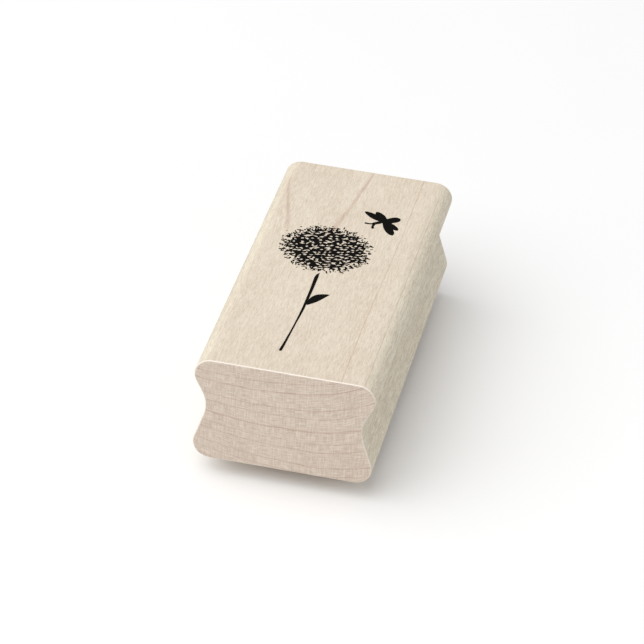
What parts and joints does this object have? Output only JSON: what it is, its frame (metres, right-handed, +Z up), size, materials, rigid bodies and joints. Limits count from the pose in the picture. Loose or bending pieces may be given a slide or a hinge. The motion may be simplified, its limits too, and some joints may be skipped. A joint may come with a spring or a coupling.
{
  "type": "rubber stamp",
  "caption": "Wood-mounted rubber stamp: hardwood grip block with finger coves, foam cushion and a flat rubber relief die; the flower picture is printed on top.",
  "frame": {"origin": "under the middle of the block, on the printing face, where the stamp stands on its die", "axes": "+Z up through the block; +Y along the block, from the stem's foot to the flower and the insect; +X to the right as the picture on top is read"},
  "size_m": [0.038, 0.08, 0.0291],
  "materials": {
    "maple": "matte",
    "black_ink": "matte",
    "adhesive": "satin",
    "foam": "matte",
    "red_rubber": "matte"
  },
  "bodies": {
    "root": {"wood_block": "maple", "index_print_flower_head": "black_ink", "index_print_stem": "black_ink", "index_print_leaf": "black_ink", "index_print_insect": "black_ink", "upper_adhesive_film": "adhesive", "foam_cushion": "foam", "lower_adhesive_film": "adhesive", "rubber_die": "red_rubber"}
  },
  "joints": []
}
